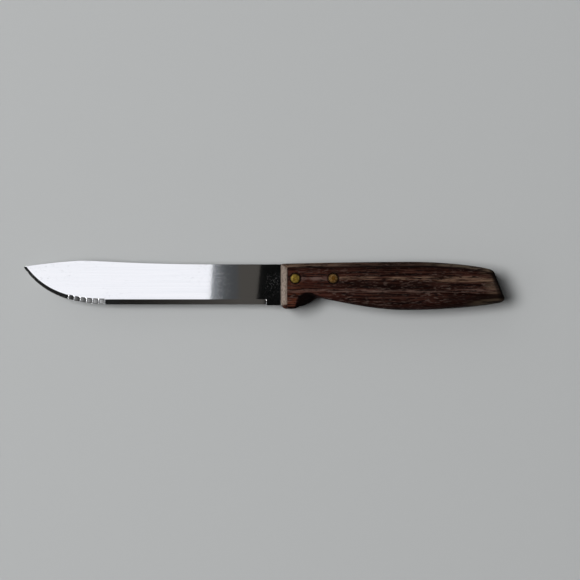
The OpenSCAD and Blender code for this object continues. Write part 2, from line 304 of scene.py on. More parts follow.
# the middle line of the flat sides, where the halves of a side meet
middleX = np.concatenate([
    np.linspace(between[0] - handleSizes["middleEnd"], between[0], frontCount, endpoint=False), between,
    np.linspace(between[-1], between[-1] + handleSizes["middleEnd"], buttCount + 1)[1:],
])
middleY = np.interp(middleX, between, (lowerFlat + upperFlat)[frontCount:-buttCount, 1] / 2)
middleLine = np.stack([middleX, middleY], 1)
flatWays = np.array([0.03, 0.1, 0.25, 0.5, 0.75])        # ways from the rounded edge in to the middle line
print("handle outline:", len(lowerPlace), "points below and above")


def edgeLines(mid, flat, rounding, front):
    # one long edge, from the flat side at +z round to the flat side at -z. With u from 1 at the flat side to
    # 0 at the wall, a rounded edge is a quarter of an ellipse (inset 1 - cos 90u, height sin 90u), and the
    # front is straight in u
    u = np.linspace(1, 0, handleSizes["roundLines"])[None, :]
    share = front[:, None]
    inset = (1 - share) * (1 - np.cos(u * np.pi / 2)) + share * u
    roundZ = handleHalf - rounding[:, None] * (1 - np.sin(u * np.pi / 2))
    frontZ = bladeHalf + (handleHalf - bladeHalf) * u
    z = (1 - share) * roundZ + share * frontZ
    place = mid[:, None, :] + (flat - mid)[:, None, :] * inset[..., None]
    upper = np.concatenate([place, z[..., None]], -1)
    wall = np.concatenate([mid, np.zeros((len(mid), 1))], 1)[:, None, :]
    lower = upper[:, ::-1] * (1, 1, -1)
    return np.concatenate([upper, wall, lower], 1)


def flatLines(flat, z, outwards):
    # one half of a flat side: straight lines between the rounded edge and the middle line
    lines = flat[:, None, :] + (middleLine - flat)[:, None, :] * flatWays[None, :, None]
    lines = lines[:, ::-1] if outwards else lines
    return np.concatenate([lines, np.full((*lines.shape[:2], 1), z)], -1)


lowerEdge = edgeLines(lowerMid, lowerFlat, lowerRound, lowerFront)
upperEdge = edgeLines(upperMid, upperFlat, upperRound, upperFront)
topMiddle = np.concatenate([middleLine, np.full((len(middleLine), 1), handleHalf)], 1)[:, None, :]
handleGrid = np.concatenate([
    topMiddle, flatLines(lowerFlat, handleHalf, True), lowerEdge, flatLines(lowerFlat, -handleHalf, False),
    topMiddle * (1, 1, -1), flatLines(upperFlat, -handleHalf, True), upperEdge[:, ::-1],
    flatLines(upperFlat, handleHalf, False),
], 1) + (0, 0, midZ)


def rimValues(edge, flat):
    # distance from the edge of the flat side: along the surface and negative on the rounded edge, and
    # straight in to the lines of the flat side and to its middle line
    step = np.linalg.norm(np.diff(edge, axis=1), axis=2)
    run = np.concatenate([np.zeros((len(edge), 1)), step[:, :handleSizes["roundLines"]].cumsum(1)], 1)
    inside = np.linalg.norm(middleLine - flat, axis=1)[:, None]
    return -np.concatenate([run, run[:, -2::-1]], 1), inside * flatWays, inside


def roundHandle(middle, lowerSide, lowerRun, upperSide, upperRun):
    # values in the order of the handle's section
    return np.concatenate([
        middle, lowerSide[:, ::-1], lowerRun, lowerSide,
        middle, upperSide[:, ::-1], upperRun[:, ::-1], upperSide,
    ], 1)


# what the wood's finish follows: distance in from the edge of a flat side, and share of the sloping front
lowerRun, lowerInside, lowerWhole = rimValues(lowerEdge, lowerFlat)
upperRun, upperInside, upperWhole = rimValues(upperEdge, upperFlat)
middleRun = np.minimum(lowerWhole, upperWhole)
rim = roundHandle(middleRun, lowerInside, lowerRun, upperInside, upperRun)
frontShare = roundHandle(
    np.zeros_like(middleRun),
    np.zeros_like(lowerInside), np.repeat(lowerFront[:, None], lowerRun.shape[1], 1),
    np.zeros_like(upperInside), np.repeat(upperFront[:, None], upperRun.shape[1], 1))
handle = skin("handle_wood", handleGrid, handleSizes["sharpAngle"], {"rim": rim, "front": frontShare})

# the slot for the half tang
tangY = spineY - bladeSizes["tangHeight"]
tangCorner = bladeSizes["tangCorner"]


def tangOutline(grow):
    # the tang's lower line, with its rear corner rounded to a quarter circle, moved out by a margin
    quarter = np.linspace(0, np.pi / 2, 24)
    cornerX = tangX + grow - tangCorner + tangCorner * np.sin(quarter)
    cornerY = tangY - grow + tangCorner - tangCorner * np.cos(quarter)
    return np.concatenate([[frontX - grow], cornerX]), np.concatenate([[tangY - grow], cornerY])


def slotLine(y, z):
    return np.stack([slotX, y, np.full_like(slotX, z)], -1)


slotX, slotLow = tangOutline(2 * handleSizes["slotPlay"])
slotTop = np.full_like(slotX, humpY + handleSizes["clear"])
slotHalf = bladeHalf + handleSizes["slotPlay"]
slotGrid = np.stack([
    slotLine(slotLow, midZ - slotHalf), slotLine(slotLow, midZ + slotHalf),
    slotLine(slotTop, midZ + slotHalf), slotLine(slotTop, midZ - slotHalf),
], 1)
slotGrid = np.concatenate([flattened(slotGrid[:1]), slotGrid, flattened(slotGrid[-1:])])
slotCutter = skin("slot", slotGrid, handleSizes["sharpAngle"])

rivetSizes = {           # mm
    "tubeDiameter": 3.4, "pinDiameter": 2, "headThickness": 1.5, "headSink": 0.05,
    "tubeFloor": 1.2, "tubeGap": 0.4, "pinPlay": 0.01, "brokenEdge": 0.22, "underEdge": 0.05, "crown": 0.05,
    "sharpAngle": 35,    # degrees
}
rivets = {}              # x, y and radius of each rivet's head
for place in ("front", "rear"):
    tubeLow, tubeHigh = np.array(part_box(place + "_rivet_tube")) / mm
    tubeMiddle = (tubeLow + tubeHigh) / 2
    rivets[place] = (tubeMiddle[0], tubeMiddle[1], (tubeHigh[0] - tubeLow[0]) / 2)


def rivetHole(name, place, stepped):
    # a bore for the tube, which in the wood is stepped out to a seat for the head at both sides
    x, y, headRadius = rivets[place]
    seat = handleHalf - rivetSizes["headThickness"] - rivetSizes["headSink"]
    bore = rivetSizes["tubeDiameter"] / 2 + handleSizes["tubePlay"]
    head = headRadius + handleSizes["headPlay"]
    end = handleHalf + handleSizes["clear"]
    if stepped:
        wall = [(head, -end), (head, -seat), (bore, -seat), (bore, seat), (head, seat), (head, end)]
    else:
        wall = [(bore, -end), (bore, end)]
    profile = np.array([(0, -end), *wall, (0, end)]) + (0, midZ)
    return turned(name, profile, x, y, rivetSizes["sharpAngle"])


handleCutters = [slotCutter, rivetHole("hole_a", "front", True), rivetHole("hole_b", "rear", True)]
cutAway(handle, handleCutters, handleSizes["sharpAngle"])

# The blade. Columns stand across it from the point to the end of the tang, and each column's section is a
# closed loop: from the edge up the lower face to the spine, over it, and down the upper face.
pointY = humpY - bladeSizes["pointDrop"]
humpX, bellyX = pointX + bladeSizes["humpBack"], pointX + bladeSizes["bellyBack"]
spineX = pointX + bladeSizes["spineBack"]
plungeX = frontX - bladeSizes["ricassoLength"]
tipDown, tipUp = bladeSizes["tipDown"], bladeSizes["tipUp"]
belly = oneCurve([
    (pointX, pointY), (pointX + tipDown[0], pointY + tipDown[1]),
    (bellyX - bladeSizes["bellyArm"], edgeY), (bellyX, edgeY),
], 600)
clip = oneCurve([
    (pointX, pointY), (pointX + tipUp[0], pointY + tipUp[1]),
    (humpX - bladeSizes["clipArm"], humpY), (humpX, humpY),
], 200)
spine = oneCurve([
    (humpX, humpY), (humpX + bladeSizes["humpArm"], humpY),
    (spineX - bladeSizes["spineArm"], spineY), (spineX, spineY),
], 200)
edge = np.concatenate([belly, [(plungeX, edgeY)]])
edgeSteps = np.linalg.norm(np.diff(edge, axis=0), axis=1)
along = np.concatenate([[0], edgeSteps.cumsum()])        # distance along the edge from the point
bellyLength = along[-2]
heading = np.gradient(belly, axis=0)
heading = np.concatenate([heading / np.linalg.norm(heading, axis=1)[:, None], [(1, 0)]])
inward = heading[:, ::-1] * (-1, 1)


def bevelAt(s):
    # the bevel widens evenly from the point to where the edge runs straight
    return np.interp(s, [0, bellyLength], [bladeSizes["bevelTipWidth"], bladeSizes["bevelWidth"]])


shoulder = edge + inward * bevelAt(along)[:, None]
scallopEnd = bladeSizes["scallopStart"] + bladeSizes["scallops"] * bladeSizes["scallopPitch"]
scallopX = np.interp([bladeSizes["scallopStart"], scallopEnd], along, edge[:, 0])
tipRun, tipCrowding = 8, 1.6                             # mm where columns crowd to the point, and the power
rowMargin, plungeBefore, plungeAfter, tangGap = 1, 0.6, 1.2, 0.1  # mm
ricassoEnd = frontX - bladeSizes["play"]
tangStart = ricassoEnd + 0.001                           # so close that the step to the tang stands upright
columns = np.unique(np.concatenate([
    pointX + tipRun * np.linspace(0, 1, 50) ** tipCrowding,
    np.linspace(pointX + tipRun, scallopX[0] - rowMargin, 40),
    np.linspace(scallopX[0] - rowMargin, scallopX[1] + rowMargin, 360),
    np.linspace(scallopX[1] + rowMargin, plungeX - plungeBefore, 100),
    np.linspace(plungeX - plungeBefore, plungeX + plungeAfter, 19),
    np.linspace(plungeX + plungeAfter, ricassoEnd, 12),
    [tangStart],
    np.linspace(frontX + tangGap, tangX - tangCorner, 40),
    tangX - tangCorner + tangCorner * np.sin(np.linspace(0, np.pi / 2, 24)),
]))
print("blade:", len(columns), "columns")
tangLineX, tangLineY = tangOutline(0)
lowPath = np.concatenate([
    edge, [(plungeX + bladeSizes["ricassoDrop"], ricassoY), (ricassoEnd, ricassoY), (tangStart, tangY)],
    np.stack([tangLineX, tangLineY], 1)[1:],
])
handleTop = upperMid[np.argmax(upperMid[:, 1] > spineY):]
handleTop = handleTop[handleTop[:, 0] <= crestX]
highPath = np.concatenate([clip, spine[1:], [(frontX, spineY)], handleTop])
lowY = np.interp(columns, lowPath[:, 0], lowPath[:, 1])
highY = np.interp(columns, highPath[:, 0], highPath[:, 1])
shoulderY = np.interp(columns, shoulder[:, 0], shoulder[:, 1])
shoulderY = np.where(columns > plungeX, lowY + bladeSizes["bevelWidth"], shoulderY)
columnAlong = np.interp(columns, edge[:, 0], along)
columnHeading = np.stack([np.interp(columns, edge[:, 0], heading[:, k]) for k in (0, 1)], 1)

# scallops: grooves as high as the bevel, with a floor that climbs from below the middle plane to the face
scallopRise = bladeHalf + bladeSizes["scallopBite"]
edgeHalf = bladeSizes["edgeThickness"] / 2
bevelTilt = (bladeHalf - edgeHalf) / bladeSizes["bevelWidth"]


def scallopMiddle(s):
    # the middle of the groove that a distance along the edge falls in
    pitch, start = bladeSizes["scallopPitch"], bladeSizes["scallopStart"]
    return start + (np.floor((s - start) / pitch) + 0.5) * pitch


def scallopTilt(s):
    # the slope of that groove's floor, from the edge in
    return scallopRise / (bladeSizes["scallopReach"] * bevelAt(scallopMiddle(s)))


def scallopFloor(s, d):
    # height over the middle plane, by distance along the edge and in from it: slightly hollow along the
    # middle of a groove, by the square of the way to its side, and steep at the side, by a high power of it
    toSide = (s - scallopMiddle(s)) / bladeSizes["scallopHalfWidth"]
    sag = bladeSizes["scallopSag"] * toSide ** 2 + scallopRise * toSide ** bladeSizes["scallopPower"]
    inRow = (s > bladeSizes["scallopStart"]) & (s < scallopEnd)
    return np.where(inRow, -bladeSizes["scallopBite"] + d * scallopTilt(s) + sag, bladeHalf), inRow


edgeFloor = scallopFloor(columnAlong, 0)[0]
bite = np.maximum(bladeSizes["thinnest"] - edgeHalf - edgeFloor, 0) / (scallopTilt(columnAlong) + bevelTilt)
lowY = lowY + bite / columnHeading[:, 0]                 # the scallops nick the edge a little

# rows of a column: up the bevel, up the face, and over the soft corner at the spine
upBevel = np.linspace(0, 1, 25)
upFace = np.array([0.02, 0.08, 0.2, 0.35, 0.5, 0.65, 0.8, 0.92, 0.98, 1])
overCorner = np.linspace(0, 1, 4)[1:]
corner = np.minimum(bladeSizes["softCorner"], (highY - lowY) / 4)
faceTop = highY - corner
faceStart = np.minimum(shoulderY, faceTop)
rowY = np.concatenate([
    lowY[:, None] + (faceStart - lowY)[:, None] * upBevel,
    faceStart[:, None] + (faceTop - faceStart)[:, None] * upFace,
    faceTop[:, None] + corner[:, None] * np.sin(overCorner * np.pi / 2),
], 1)
rise = rowY - lowY[:, None]
rowAlong = columnAlong[:, None] + rise * columnHeading[:, 1:]
rowIn = rise * columnHeading[:, :1]

# the steel is thinned a little towards the point, so that the bevel keeps its angle where it narrows
thinned = np.clip((columns - pointX) / bladeSizes["pointThinRun"], 0, 1)
faceHalf = (bladeHalf - bladeSizes["pointThin"] * (1 - thinned))[:, None]
bevelShare = np.clip((plungeX + bladeSizes["plungeRun"] - columns) / bladeSizes["plungeRun"], 0, 1)[:, None]
upTheBevel = np.clip(rise / np.maximum(shoulderY - lowY, tiny)[:, None], 0, 1)
bevelHeight = edgeHalf + (faceHalf - edgeHalf) * upTheBevel
bevelHeight = faceHalf + (bevelHeight - faceHalf) * bevelShare
brokenEdge = bladeHalf - bladeSizes["softCorner"] + rise    # the lower edge where the steel is blunt
overSpine = np.maximum(rowY - faceTop[:, None], 0) / np.maximum(corner[:, None], tiny)
spineCorner = faceHalf - corner[:, None] * (1 - np.sqrt(np.clip(1 - overSpine ** 2, 0, 1)))
lowerHeight = np.minimum(np.minimum(bevelHeight, brokenEdge), spineCorner)

# the upper face has the scallops, and a ridge stands between the bevel and each end of their row
groove, inRow = scallopFloor(rowAlong, rowIn)
fromRow = np.maximum(bladeSizes["scallopStart"] - rowAlong, rowAlong - scallopEnd)
ridge = np.clip(fromRow / bladeSizes["scallopRidge"], 0, 1)
besideRow = np.minimum(faceHalf + (bevelHeight - faceHalf) * ridge, brokenEdge)
upperHeight = np.minimum(np.where(inRow, np.minimum(groove, faceHalf), besideRow), spineCorner)
upperHeight = np.maximum(upperHeight, bladeSizes["thinnest"] - lowerHeight)
rowX = np.repeat(columns[:, None], rowY.shape[1], 1)
bladeGrid = np.concatenate([
    np.stack([rowX, rowY, midZ - lowerHeight], -1),
    np.stack([rowX, rowY, midZ + upperHeight], -1)[:, ::-1],
], 1)
bladeGrid[0] = (pointX, pointY, midZ)                    # the first column is the point
bladeGrid = np.concatenate([bladeGrid, flattened(bladeGrid[-1:])])
blade = skin("blade_steel", bladeGrid, bladeSizes["sharpAngle"])
bladeCutters = [rivetHole("hole_c", "front", False), rivetHole("hole_d", "rear", False)]
cutAway(blade, bladeCutters, bladeSizes["sharpAngle"])

# a map whose u runs across the knife, the way that reflections are drawn out
brushScale = 4           # map units a metre
bladePoints = np.zeros(len(blade.data.vertices) * 3)
blade.data.vertices.foreach_get("co", bladePoints)
across = bladePoints.reshape(-1, 3)[cornerVertices(blade.data)][:, [1, 0]] * (brushScale, -brushScale)
brushing = blade.data.uv_layers.new(name="brushing")
brushing.uv.foreach_set("vector", across.reshape(-1).astype(np.float32))


def headProfile(radius, inner, lower, upper):
    # a rivet's head: out along its underside, up its wall, over a quarter circle at the rim, and in over a
    # face that is crowned with the square of the radius
    edgeRadius, under, crown = [rivetSizes[k] for k in ("brokenEdge", "underEdge", "crown")]
    rounded = np.linspace(0, np.pi / 2, 6)
    face = np.linspace(1, 0, 6)[1:]
    edgeR = radius - edgeRadius + edgeRadius * np.cos(rounded)
    edgeZ = upper - crown - edgeRadius + edgeRadius * np.sin(rounded)
    return [
        (inner, lower), (radius - under, lower), (radius, lower + under), *zip(edgeR, edgeZ),
        *zip((radius - edgeRadius) * face, upper - crown * face ** 2),
    ]


def rivetTube(place):
    # hollow half, its head on the upper side
    x, y, radius = rivets[place]
    top = handleHalf - rivetSizes["headSink"]
    seat = top - rivetSizes["headThickness"]
    foot = -top + rivetSizes["headThickness"] + rivetSizes["tubeGap"]
    outer, bore = rivetSizes["tubeDiameter"] / 2, rivetSizes["pinDiameter"] / 2
    boreEnd = seat - rivetSizes["tubeFloor"]
    inside = [(0, boreEnd), (bore, boreEnd), (bore, foot)]
    profile = [*inside, (outer, foot), *headProfile(radius, outer, seat, top)]
    return turned(place + "_rivet_tube_brass", np.array(profile) + (0, midZ), x, y, rivetSizes["sharpAngle"])


def rivetPin(place):
    # solid half, its head on the lower side and its pin up inside the tube
    x, y, radius = rivets[place]
    base = -handleHalf + rivetSizes["headSink"]
    seat = base + rivetSizes["headThickness"]
    pin = rivetSizes["pinDiameter"] / 2 - rivetSizes["pinPlay"]
    pinTop = -seat - rivetSizes["tubeFloor"] - rivetSizes["tubeGap"]
    head = [(r, -h) for r, h in headProfile(radius, pin, -seat, -base)]
    profile = [(0, pinTop), (pin, pinTop), *head]
    return turned(place + "_rivet_pin_brass", np.array(profile) + (0, midZ), x, y, rivetSizes["sharpAngle"])


noiseRoughness = 0.6     # of every noise
noiseApart = 7.31        # moves each noise to a place of its own
mixSockets = {"RGBA": (6, 7, 2), "FLOAT": (2, 3, 0)}     # a Mix node's two inputs and its output


def placeInMm(tree):
    # the place in the shared frame, in mm
    place = addNode(tree, "TexCoord", {})["Object"]
    return addNode(tree, "Mapping", {"Vector": place, "Scale": [1 / mm] * 3})[0]


def finishedMaterial(name, finish):
    # A finish in layers. Its fields run from 0 to 1: noises, by their size in mm along, across and through
    # the knife, their detail, and the values where they start and are full; and fades between two places in
    # mm. Each layer moves colour, roughness or height towards a value, by its strength times its fields.
    material, tree = newMaterial(name)
    place = placeInMm(tree)
    parts = addNode(tree, "SeparateXYZ", {0: place})
    sources = {"x": parts[0], "y": parts[1]}
    for layerName in finish.get("follows", ()):
        sources[layerName] = addNode(tree, "Attribute", {}, attribute_name=layerName)["Fac"]
    for slantName, slant in finish.get("slants", {}).items():
        slanted = addNode(tree, "VectorMath", {0: place, 1: slant}, operation="DOT_PRODUCT")
        sources[slantName] = slanted["Value"]
    for axisName, axis in finish.get("axes", {}).items():   # distance from an upright axis
        offset = addNode(tree, "VectorMath", {0: place, 1: (*axis, 0)}, operation="SUBTRACT")[0]
        level = addNode(tree, "VectorMath", {0: offset, 1: (1, 1, 0)}, operation="MULTIPLY")[0]
        sources[axisName] = addNode(tree, "VectorMath", {0: level}, operation="LENGTH")["Value"]
    grainPlace = place
    if "wander" in finish:   # the grain sways a little: how far, and over what length along and across
        sway, length, width = finish["wander"]
        slow = addNode(tree, "Mapping", {"Vector": place, "Scale": (1 / length, 1 / width, 1 / width)})[0]
        bend = addNode(tree, "TexNoise", {"Vector": slow, "Scale": 1, "Detail": 1})["Color"]
        centred = addNode(tree, "VectorMath", {0: bend, 1: (0.5, 0.5, 0.5)}, operation="SUBTRACT")[0]
        grainPlace = addNode(tree, "VectorMath", {
            0: centred, 1: (0, 2 * sway, 2 * sway), 2: place}, operation="MULTIPLY_ADD")[0]
        sources["sway"] = addNode(tree, "SeparateXYZ", {0: grainPlace})[1]
    fields = {}
    for number, (fieldName, (sizes, detail, low, high)) in enumerate(finish["noises"].items()):
        spot = addNode(tree, "Mapping", {
            "Vector": grainPlace, "Scale": [1 / size for size in sizes],
            "Location": [noiseApart * (number + 1)] * 3})[0]
        noise = addNode(tree, "TexNoise", {
            "Vector": spot, "Scale": 1, "Detail": detail, "Roughness": noiseRoughness})[0]
        fields[fieldName] = addNode(tree, "MapRange", {
            "Value": noise, "From Min": low, "From Max": high}, interpolation_type="SMOOTHSTEP")[0]
    for fieldName, (source, low, high) in finish["fades"].items():
        fields[fieldName] = addNode(tree, "MapRange", {
            "Value": sources[source], "From Min": low, "From Max": high}, interpolation_type="SMOOTHSTEP")[0]

    def layered(value, layers, dataType):
        first, second, result = mixSockets[dataType]
        for towards, strength, names in layers:
            share = strength
            for fieldName in names.split():
                share = addNode(tree, "Math", {0: fields[fieldName], 1: share}, operation="MULTIPLY")[0]
            mixed = addNode(tree, "Mix", {0: share, first: value, second: towards}, data_type=dataType)
            value = mixed[result]
        return value

    colourLayers = [(toLinear(colour), strength, names) for colour, strength, names in finish["colourLayers"]]
    height = layered(0.0, finish["heightLayers"], "FLOAT")  # in mm
    inputs = {
        "Base Color": layered(toLinear(finish["colour"]), colourLayers, "RGBA"),
        "Roughness": layered(finish["roughness"], finish["roughnessLayers"], "FLOAT"),
        "Normal": addNode(tree, "Bump", {"Height": height, "Strength": 1, "Distance": mm})[0],
        **finish["shader"],
    }
    if "tangentMap" in finish:
        tangent = addNode(tree, "Tangent", {}, direction_type="UV_MAP", uv_map=finish["tangentMap"])
        inputs["Tangent"] = tangent[0]
    shader = addNode(tree, "BsdfPrincipled", inputs)[0]
    addNode(tree, "OutputMaterial", {"Surface": shader})
    return material


# Stainless steel, ground lengthwise and polished: it mirrors sharply along the blade and is drawn out across
# it, with faint long streaks, specks where the polish has worn, scratches behind the middle and rubbed spots
# by the handle.
steelFinish = {
    "colour": "#e6e7e8", "roughness": 0.028, "tangentMap": "brushing",
    "shader": {"Metallic": 1, "Anisotropic": 1},
    "noises": {          # sizes are drawn coarser than real scratches, which are too fine to show
        "streaks": ((60, 0.7, 5), 3, 0.35, 0.65),
        "specks": ((1.4, 1.1, 5), 2, 0.6, 0.7),
        "worn": ((40, 14, 9), 2, 0.4, 0.65),
        "grit": ((1.7, 1.3, 5), 3, 0.3, 0.7),
        "scratches": ((2.4, 0.6, 5), 3, 0.46, 0.6),
        "rubbed": ((0.9, 1.1, 5), 2, 0.56, 0.67),
    },
    "fades": {
        "ahead": ("x", -26, -34), "pastMiddle": ("x", -29.5, -25.5), "beforeRicasso": ("x", -8, -24),
        "byHandle": ("x", -1, 4), "belowSpine": ("y", 9, 5), "aboveBevel": ("y", -9, -5),
    },
    "colourLayers": [("#d9dcdf", 0.2, "streaks"), ("#d2d4d6", 0.4, "specks worn ahead")],
    "roughnessLayers": [
        (0.045, 0.5, "streaks"), (0.1, 0.6, "specks worn ahead"),
        (0.12, 0.6, "scratches pastMiddle beforeRicasso"),
        (0.21, 0.8, "rubbed byHandle belowSpine aboveBevel"),
    ],
    "heightLayers": [(0.0002, 1, "grit")],
}
polishedSteel = finishedMaterial("polished_stainless_steel", steelFinish)

# Rosewood, oiled, handled and dried out: dark red-brown bands and fibres along the handle, open pores, pale
# flecks where the pores have filled, with a painted sheen where they gather in patches, tan streaks, edges
# worn pale, the top edge also painted lighter where light falls on it, painted shade on the lower edge, in
# the notch and on the butt's rounded edge, a dark line at the top rim, and end grain at the sawn front and
# the butt.
woodFinish = {
    "colour": "#120503", "roughness": 0.25, "wander": (0.7, 60, 20), "follows": ("rim", "front"),
    "shader": {"Specular IOR Level": 0.04},
    "axes": {"frontRivet": rivets["front"][:2], "rearRivet": rivets["rear"][:2]},
    "slants": {"buttward": (1, 0.345, 0)},               # along the knife, square to the slanted butt
    "noises": {          # fibres and pores are drawn about twice as coarse as real ones, to show at all
        "bands": ((90, 3.4, 6), 3, 0.4, 0.62),
        "fibres": ((26, 1.0, 1.3), 3, 0.44, 0.62),
        "veins": ((22, 0.9, 1.2), 3, 0.5, 0.62),
        "broken": ((12, 1.1, 2), 3, 0.36, 0.6),
        "pores": ((5, 0.85, 0.9), 2, 0.54, 0.66),
        "flecks": ((3.6, 0.9, 1.0), 2, 0.52, 0.66),
        "patches": ((22, 5, 7), 2, 0.42, 0.6),
        "mottle": ((8, 2, 3), 3, 0.4, 0.6),
        "endGrain": ((1.3, 1.3, 1.3), 2, 0.42, 0.6),
    },
    "fades": {
        # along the handle
        "byGuard": ("x", 25, 18), "behindGuard": ("x", 16.5, 18.3), "beforeBrow": ("x", 33.5, 28.5),
        "beforeRivets": ("x", 43.5, 41.5), "pastRivets": ("x", 41.5, 43.5), "nearFront": ("x", 70, 15),
        "beforeMiddle": ("x", 112, 92), "pastMiddle": ("x", 88, 104), "lowRear": ("x", 99, 110),
        "atHeel": ("x", 115, 127), "nearButt": ("buttward", 126, 132), "darkButt": ("buttward", 133.2, 135),
        "atButt": ("buttward", 135, 136.2),
        # across it, with the sway of the grain
        "aboveFrontTan": ("sway", 6.4, 4.4), "belowFrontTan": ("sway", 1.9, 3.7),
        "aboveTan": ("sway", 5.4, 4.4), "belowTan": ("sway", 2.8, 3.9), "belowFrontTop": ("sway", 3.5, 1.5),
        "aboveSecond": ("sway", 3.7, 2.8), "belowSecond": ("sway", 1.3, 2.3),
        "aboveDark": ("sway", 2.2, 1.2), "belowDark": ("sway", -2.4, -1.4),
        "aboveLower": ("sway", -1.9, -2.8), "belowLower": ("sway", -4.6, -3.6),
        "belowLow": ("sway", -4.9, -5.9), "upperHalf": ("y", -1, 2), "lowerHalf": ("y", 2, -1),
        # in from the edge of the flat side, and out over the rounded edge
        "underTop": ("rim", 3.2, 0.4), "atTop": ("rim", 0.6, -0.1), "inTop": ("rim", -0.75, -0.4),
        "overRim": ("rim", 0.15, -0.25), "overTop": ("rim", -0.35, -0.75), "farTop": ("rim", -0.7, -1.2),
        "topRound": ("rim", -8, -3.5), "inNotch": ("rim", 0.1, -1.3), "farOver": ("rim", -1.6, -2.6),
        "aboveWall": ("rim", -11, -7.5), "buttEdge": ("rim", -4.2, -2.4), "buttWall": ("rim", -2.4, -4.2),
        # on the front face and round the rivets
        "frontFace": ("front", 0.55, 0.8), "byFlat": ("rim", -3.5, -0.5), "byBlade": ("rim", -6.8, -8.6),
        "byFrontRivet": ("frontRivet", 3.9, 3.0), "byRearRivet": ("rearRivet", 4.1, 3.0),
    },
    "colourLayers": [
        # bands, fibres and the redder front
        ("#24100a", 0.85, "bands"), ("#3f2720", 0.7, "fibres"), ("#4a251c", 0.45, "nearFront"),
        ("#623826", 0.33, "byGuard belowFrontTop"),
        # tan and dark streaks
        ("#62504a", 0.7, "aboveFrontTan belowFrontTan beforeRivets mottle"),
        ("#755d4d", 0.9, "aboveTan belowTan broken pastRivets"),
        ("#6f5747", 0.8, "aboveSecond belowSecond pastMiddle broken"),
        ("#100503", 0.6, "aboveDark belowDark beforeMiddle pastRivets"),
        ("#100503", 0.25, "aboveDark belowDark beforeRivets"),
        ("#65524a", 0.6, "aboveLower belowLower broken"),
        # the top edge: dark inside its rim, and over it worn pale and, on the upper half, painted lighter
        # where the light falls on it
        ("#0c0402", 0.45, "underTop inTop upperHalf"),
        # worn pale, and painted lighter on the upper half where the light falls
        ("#33251e", 0.75, "overTop upperHalf"),
        ("#6a5749", 0.6, "overTop upperHalf nearFront topRound"),
        ("#575044", 0.5, "farTop upperHalf pastMiddle topRound"),
        # painted shade on the lower rounded edge, which faces away from the light
        ("#1f0906", 0.6, "overRim lowerHalf"),
        # veins, pores and pale flecks, and a painted sheen where the flecks gather in patches
        ("#080100", 0.9, "veins"), ("#080100", 0.9, "pores"),
        # pale flecks, and a painted sheen where they gather in patches
        ("#55463f", 0.16, "flecks"), ("#65564f", 0.3, "flecks patches"),
        # the dry rear end, the dark heel and its worn edge
        ("#5c4c3f", 0.5, "nearButt broken"),
        ("#120604", 0.6, "lowRear belowLow aboveWall"),
        ("#0c0402", 0.75, "atHeel belowLow aboveWall"),
        ("#574a3c", 0.5, "farOver lowerHalf atHeel broken aboveWall"),
        # a dark line at the top rim, and painted shade in the notch
        ("#0a0403", 0.8, "atTop inTop upperHalf"),
        # painted shade: the notch's wall near black, standing in for the deep shadow there
        ("#030202", 0.9, "inNotch lowerHalf behindGuard beforeBrow aboveWall"),
        # the butt: end grain on its wall, and painted shade on its rounded edge
        ("#2e1a12", 0.6, "atButt buttWall"), ("#120805", 0.7, "atButt buttWall endGrain"),
        # painted shade along the butt's rounded edge
        ("#080403", 0.75, "darkButt buttEdge"), ("#080403", 0.9, "overRim atButt buttEdge"),
        # dark rings round the rivets
        ("#0c0503", 0.95, "byFrontRivet"), ("#0c0503", 0.95, "byRearRivet"),
        # the front face
        ("#8b7d72", 1.0, "frontFace"), ("#62554b", 0.7, "frontFace byFlat"),
        ("#5f5248", 0.6, "frontFace byBlade"), ("#3f342c", 0.6, "frontFace endGrain"),
    ],
    "roughnessLayers": [
        (0.23, 0.7, "fibres"), (0.6, 0.6, "pores"), (0.7, 0.8, "frontFace"),
        # full roughness keeps the painted shade in the notch without gloss
        (0.55, 1, "overRim"), (1, 1, "inNotch lowerHalf behindGuard beforeBrow"),
    ],
    "heightLayers": [(0.02, 1, "fibres"), (-0.05, 0.8, "pores"), (0.03, 1, "frontFace endGrain")],
}
rosewood = finishedMaterial("oiled_rosewood", woodFinish)


# Brass, filed flush with the wood and dulled by handling: blotchy tarnish, dark spots, and a darker rim.
# The paler ring inside the rim is a painted highlight.
def brassFinish(place, colour, ring, worn):
    return {
        "colour": colour, "roughness": 0.38, "shader": {"Metallic": 1}, "axes": {"middle": rivets[place][:2]},
        "noises": {
            "tarnish": ((1.3, 1.0, 1.0), 2, 0.42, 0.58), "spots": ((0.9, 0.9, 0.9), 2, 0.54, 0.64),
            "filing": ((0.35, 3, 3), 2, 0.4, 0.6),       # drawn coarser than real file marks
        },
        "fades": {"rim": ("middle", 2.0, 2.65), "ring": ("middle", 0.7, 1.7)},
        "colourLayers": [
            # the pale ring is a painted highlight
            (ring, 0.7, "ring"), (worn, 0.7, "tarnish"), ("#33260b", 0.7, "spots"), ("#2a1d0c", 0.85, "rim"),
        ],
        "roughnessLayers": [(0.5, 0.8, "tarnish"), (0.3, 0.5, "filing")],
        "heightLayers": [(0.008, 1, "filing"), (0.015, 1, "tarnish")],
    }


# the ring colour is a painted highlight
brassColours = {         # base, ring and tarnish
    "front": ("#746026", "#82703a", "#544417"),
    "rear": ("#5a3a13", "#7d6543", "#473012"),
}
print("finishes mixed: steel, rosewood and brass")

settle(blade, "blade", polishedSteel)
settle(handle, "handle", rosewood)
for place, colours in brassColours.items():
    dulledBrass = finishedMaterial("dulled_brass_" + place, brassFinish(place, *colours))
    settle(rivetTube(place), place + "_rivet_tube", dulledBrass)
    settle(rivetPin(place), place + "_rivet_pin", dulledBrass)


